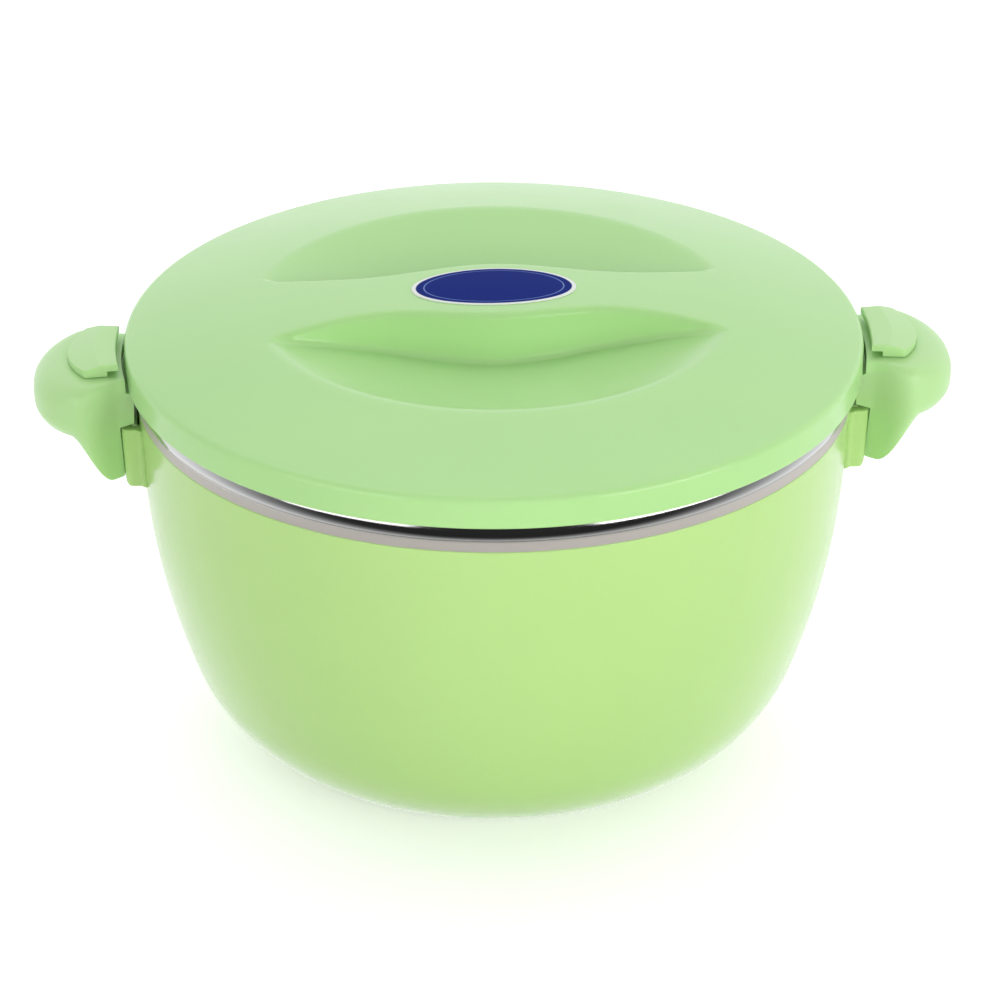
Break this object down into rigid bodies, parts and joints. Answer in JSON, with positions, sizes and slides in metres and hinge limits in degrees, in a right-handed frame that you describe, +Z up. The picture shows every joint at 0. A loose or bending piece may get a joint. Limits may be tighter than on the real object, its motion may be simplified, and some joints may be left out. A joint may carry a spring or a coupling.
{
  "type": "insulated casserole",
  "caption": "Round double-wall food warmer with a stainless inner pot, a domed lift-off lid with finger recesses, hood handles at the sides and sliding thumb latches.",
  "frame": {"origin": "on the table, under the middle of the pot", "axes": "+Z up, +X through the right-hand handle, -Y towards the side the picture shows"},
  "size_m": [0.337, 0.27, 0.1798],
  "materials": {
    "green_shell": "smooth moulded polypropylene, pale green",
    "green_lid": "satin moulded polypropylene, pale green, slightly cooler than the shell",
    "steel": "polished rolled rim, finely brushed inside",
    "liner": "off-white polypropylene",
    "foam": "rigid foam, sealed inside",
    "seal": "pale silicone",
    "label": "printed label, blue with a white edge, no text"
  },
  "bodies": {
    "pot": {"outer_shell": "green_shell", "inner_pot": "steel", "body_insulation": "foam", "base_plug": "green_shell", "handle_left": "green_lid", "handle_right": "green_lid"},
    "lid": {"lid_shell": "green_lid", "lid_liner": "liner", "lid_plug": "liner", "lid_insulation": "foam", "lid_gasket": "seal", "lid_label": "label"},
    "latch_left_slider": {"latch_left": "green_lid"},
    "latch_right_slider": {"latch_right": "green_lid"}
  },
  "joints": [
    {"name": "lid_lift", "type": "slide", "parent": "pot", "child": "lid", "axis": [0, 0, 1], "range_m": [0, 0.12]},
    {"name": "latch_left_slide", "type": "slide", "parent": "pot", "child": "latch_left_slider", "axis": [1, 0, 0], "range_m": [0, 0.0018]},
    {"name": "latch_right_slide", "type": "slide", "parent": "pot", "child": "latch_right_slider", "axis": [-1, 0, 0], "range_m": [0, 0.0018]}
  ]
}
